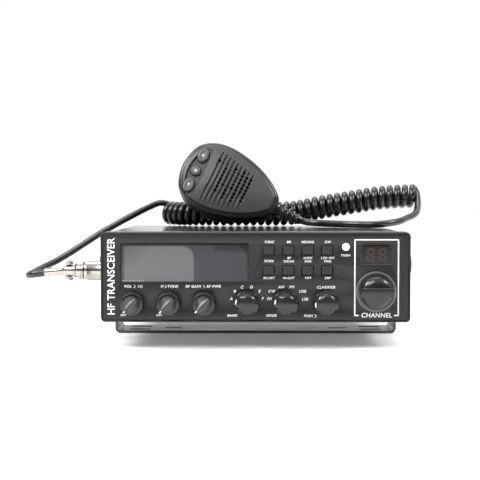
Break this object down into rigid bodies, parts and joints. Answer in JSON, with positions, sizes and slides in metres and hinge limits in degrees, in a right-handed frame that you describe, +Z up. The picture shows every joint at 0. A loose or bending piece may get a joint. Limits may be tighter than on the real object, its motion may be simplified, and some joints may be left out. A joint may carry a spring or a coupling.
{
  "type": "mobile transceiver",
  "caption": "Black mobile radio on a U-shaped mounting bracket, with dual and single control knobs, keys, display windows and a palm microphone on a curly cord.",
  "frame": {"origin": "centre of the underside of the mounting bracket, on the standing surface", "axes": "+Z up, front panel towards -Y, +X to the right of someone facing the panel"},
  "size_m": [0.2925, 0.2365, 0.1405],
  "materials": {
    "bracket_paint": "dark grey baked enamel",
    "case_paint": "satin black enamel on steel sheet",
    "panel_plastic": "satin black moulded plastic",
    "knob_plastic": "black moulded plastic with a low gloss",
    "key_rubber": "black silicone rubber",
    "smoked_lens": "clear grey acrylic",
    "red_lens": "dark red acrylic",
    "led_lens": "milky LED resin",
    "board": "green solder resist",
    "nickel": "bright nickel plate",
    "aluminium": "plain extruded aluminium",
    "speaker_steel": "zinc plated steel with a paper cone",
    "control_metal": "zinc plated steel",
    "mic_plastic": "grained dark grey plastic",
    "mic_rubber": "black rubber",
    "cord_rubber": "glossy black cord jacket"
  },
  "bodies": {
    "bracket": {"mounting_bracket": "bracket_paint"},
    "radio": {"chassis_frame": "case_paint", "top_cover": "case_paint", "bottom_cover": "case_paint", "loudspeaker": "speaker_steel", "heat_sink": "aluminium", "antenna_socket": "nickel", "speaker_jack": "nickel", "power_inlet": "knob_plastic", "main_board": "board", "front_board": "board", "front_panel": "panel_plastic", "display_window": "smoked_lens", "display_module": "smoked_lens", "channel_window": "red_lens", "channel_display": "red_lens", "status_led": "led_lens", "volume_control": "control_metal", "mic_gain_control": "control_metal", "rf_gain_control": "control_metal", "band_switch": "control_metal", "mode_switch": "control_metal", "clarifier_encoder": "control_metal", "channel_encoder": "control_metal", "mic_socket": "nickel", "plug_body": "nickel", "plug_clamp": "nickel", "cord_plug_lead": "cord_rubber"},
    "thumb_screw_left": {"thumb_screw_left": "knob_plastic"},
    "thumb_screw_right": {"thumb_screw_right": "knob_plastic"},
    "volume_knob": {"volume_knob": "knob_plastic"},
    "mic_gain_knob": {"mic_gain_knob": "knob_plastic"},
    "rf_gain_knob": {"rf_gain_knob": "knob_plastic"},
    "squelch_ring": {"squelch_ring": "knob_plastic"},
    "tone_ring": {"tone_ring": "knob_plastic"},
    "rf_power_ring": {"rf_power_ring": "knob_plastic"},
    "band_knob": {"band_knob": "knob_plastic"},
    "mode_knob": {"mode_knob": "knob_plastic"},
    "clarifier_spindle": {"clarifier_spindle": "control_metal"},
    "clarifier_knob": {"clarifier_knob": "knob_plastic"},
    "channel_knob": {"channel_knob": "knob_plastic"},
    "plug_ring": {"plug_ring": "nickel"},
    "mic": {"mic_front_shell": "mic_plastic", "mic_rear_shell": "mic_plastic", "mic_capsule": "control_metal", "mic_strain_relief": "mic_rubber", "cord_mic_lead": "cord_rubber", "cord_curl": "cord_rubber"},
    "mic_up_button": {"mic_up_button": "mic_rubber"},
    "mic_centre_button": {"mic_centre_button": "mic_rubber"},
    "mic_down_button": {"mic_down_button": "mic_rubber"},
    "push_to_talk": {"push_to_talk": "mic_rubber"},
    "func_key": {"func_key": "key_rubber"},
    "beep_key": {"beep_key": "key_rubber"},
    "noise_blanker_key": {"noise_blanker_key": "key_rubber"},
    "dual_watch_key": {"dual_watch_key": "key_rubber"},
    "scan_key": {"scan_key": "key_rubber"},
    "tone_scan_key": {"tone_scan_key": "key_rubber"},
    "lock_key": {"lock_key": "key_rubber"},
    "display_key": {"display_key": "key_rubber"}
  },
  "joints": [
    {"name": "radio_tilt", "type": "hinge", "parent": "bracket", "child": "radio", "pos_m": [0, 0, 0.0485], "axis": [1, 0, 0], "range_deg": [-7, 7]},
    {"name": "thumb_screw_left_turn", "type": "hinge", "parent": "radio", "child": "thumb_screw_left", "pos_m": [-0.105, 0, 0.0485], "axis": [1, 0, 0], "continuous": true},
    {"name": "thumb_screw_right_turn", "type": "hinge", "parent": "radio", "child": "thumb_screw_right", "pos_m": [0.105, 0, 0.0485], "axis": [1, 0, 0], "continuous": true},
    {"name": "volume_turn", "type": "hinge", "parent": "radio", "child": "volume_knob", "pos_m": [-0.0792, -0.117, 0.0293], "axis": [0, 1, 0], "range_deg": [0, 270]},
    {"name": "squelch_turn", "type": "hinge", "parent": "radio", "child": "squelch_ring", "pos_m": [-0.0792, -0.112, 0.0293], "axis": [0, 1, 0], "range_deg": [0, 270]},
    {"name": "mic_gain_turn", "type": "hinge", "parent": "radio", "child": "mic_gain_knob", "pos_m": [-0.0559, -0.117, 0.0293], "axis": [0, 1, 0], "range_deg": [0, 270]},
    {"name": "tone_turn", "type": "hinge", "parent": "radio", "child": "tone_ring", "pos_m": [-0.0559, -0.112, 0.0293], "axis": [0, 1, 0], "range_deg": [0, 270]},
    {"name": "rf_gain_turn", "type": "hinge", "parent": "radio", "child": "rf_gain_knob", "pos_m": [-0.0331, -0.117, 0.0293], "axis": [0, 1, 0], "range_deg": [0, 270]},
    {"name": "rf_power_turn", "type": "hinge", "parent": "radio", "child": "rf_power_ring", "pos_m": [-0.0331, -0.112, 0.0293], "axis": [0, 1, 0], "range_deg": [0, 270]},
    {"name": "band_turn", "type": "hinge", "parent": "radio", "child": "band_knob", "pos_m": [-0.0054, -0.115, 0.0295], "axis": [0, 1, 0], "range_deg": [0, 150]},
    {"name": "mode_turn", "type": "hinge", "parent": "radio", "child": "mode_knob", "pos_m": [0.0195, -0.115, 0.0295], "axis": [0, 1, 0], "range_deg": [0, 150]},
    {"name": "clarifier_push", "type": "slide", "parent": "radio", "child": "clarifier_spindle", "axis": [0, 1, 0], "range_m": [0, 0.001], "stiffness_N_per_m": 800, "springref_m": -0.0005},
    {"name": "clarifier_turn", "type": "hinge", "parent": "clarifier_spindle", "child": "clarifier_knob", "pos_m": [0.0454, -0.115, 0.0295], "axis": [0, 1, 0], "continuous": true},
    {"name": "channel_turn", "type": "hinge", "parent": "radio", "child": "channel_knob", "pos_m": [0.0775, -0.115, 0.0371], "axis": [0, 1, 0], "continuous": true},
    {"name": "func_key_press", "type": "slide", "parent": "radio", "child": "func_key", "axis": [0, 1, 0], "range_m": [0, 0.0008], "stiffness_N_per_m": 1200, "springref_m": -0.0005},
    {"name": "beep_key_press", "type": "slide", "parent": "radio", "child": "beep_key", "axis": [0, 1, 0], "range_m": [0, 0.0008], "stiffness_N_per_m": 1200, "springref_m": -0.0005},
    {"name": "noise_blanker_key_press", "type": "slide", "parent": "radio", "child": "noise_blanker_key", "axis": [0, 1, 0], "range_m": [0, 0.0008], "stiffness_N_per_m": 1200, "springref_m": -0.0005},
    {"name": "dual_watch_key_press", "type": "slide", "parent": "radio", "child": "dual_watch_key", "axis": [0, 1, 0], "range_m": [0, 0.0008], "stiffness_N_per_m": 1200, "springref_m": -0.0005},
    {"name": "scan_key_press", "type": "slide", "parent": "radio", "child": "scan_key", "axis": [0, 1, 0], "range_m": [0, 0.0008], "stiffness_N_per_m": 1200, "springref_m": -0.0005},
    {"name": "tone_scan_key_press", "type": "slide", "parent": "radio", "child": "tone_scan_key", "axis": [0, 1, 0], "range_m": [0, 0.0008], "stiffness_N_per_m": 1200, "springref_m": -0.0005},
    {"name": "lock_key_press", "type": "slide", "parent": "radio", "child": "lock_key", "axis": [0, 1, 0], "range_m": [0, 0.0008], "stiffness_N_per_m": 1200, "springref_m": -0.0005},
    {"name": "display_key_press", "type": "slide", "parent": "radio", "child": "display_key", "axis": [0, 1, 0], "range_m": [0, 0.0008], "stiffness_N_per_m": 1200, "springref_m": -0.0005},
    {"name": "plug_ring_turn", "type": "hinge", "parent": "radio", "child": "plug_ring", "pos_m": [-0.1035, -0.06, 0.0475], "axis": [1, 0, 0], "continuous": true},
    {"name": "mic_lift", "type": "slide", "parent": "radio", "child": "mic", "axis": [0, 0, 1], "range_m": [0, 0.1]},
    {"name": "mic_up_press", "type": "slide", "parent": "mic", "child": "mic_up_button", "axis": [0, 0.9659, -0.2588], "range_m": [0, 0.001], "stiffness_N_per_m": 900, "springref_m": -0.0005},
    {"name": "mic_centre_press", "type": "slide", "parent": "mic", "child": "mic_centre_button", "axis": [0, 0.9659, -0.2588], "range_m": [0, 0.001], "stiffness_N_per_m": 900, "springref_m": -0.0005},
    {"name": "mic_down_press", "type": "slide", "parent": "mic", "child": "mic_down_button", "axis": [0, 0.9659, -0.2588], "range_m": [0, 0.001], "stiffness_N_per_m": 900, "springref_m": -0.0005},
    {"name": "push_to_talk_press", "type": "hinge", "parent": "mic", "child": "push_to_talk", "pos_m": [-0.01684, 0.05861, 0.07723], "axis": [0, 0.9659, -0.2588], "range_deg": [0, 4], "stiffness_Nm_per_rad": 0.6, "springref_deg": -2.86}
  ]
}
